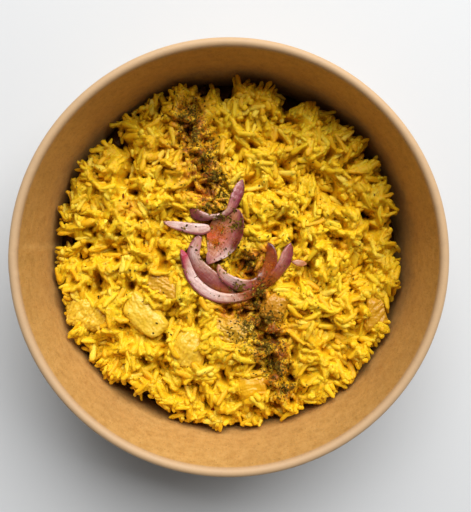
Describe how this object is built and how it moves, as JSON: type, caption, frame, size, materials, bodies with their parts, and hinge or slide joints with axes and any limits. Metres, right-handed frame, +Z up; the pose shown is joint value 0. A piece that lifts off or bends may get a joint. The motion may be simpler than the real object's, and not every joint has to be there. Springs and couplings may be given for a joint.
{
  "type": "paper bowl of yellow rice with chicken and red onion",
  "caption": "Round kraft-paper takeaway bowl with a rolled rim, holding a heap of yellow long-grain rice with chicken chunks and curved strips of red onion.",
  "frame": {"origin": "centre of the bowl's foot, on the surface that it stands on", "axes": "+Z up along the bowl's axis; the bowl's lap seam faces -X"},
  "size_m": [0.184, 0.184, 0.067],
  "materials": {
    "kraft_paper": "matte brown kraft paper, slightly sheened inside by its lining",
    "yellow_rice": "moist, softly glossy",
    "chicken": "fibrous, moist",
    "red_onion": "glossy, slightly translucent"
  },
  "bodies": {
    "root": {"bowl_wall": "kraft_paper", "bowl_base": "kraft_paper", "rice": "yellow_rice", "chicken_1": "chicken", "chicken_2": "chicken", "chicken_3": "chicken", "chicken_4": "chicken", "chicken_5": "chicken", "chicken_6": "chicken", "chicken_7": "chicken", "chicken_8": "chicken", "onion_ring_outer": "red_onion", "onion_ring_middle": "red_onion", "onion_ring_inner": "red_onion", "onion_petal": "red_onion", "onion_hook": "red_onion", "onion_strip_left": "red_onion", "onion_stub": "red_onion"}
  },
  "joints": []
}
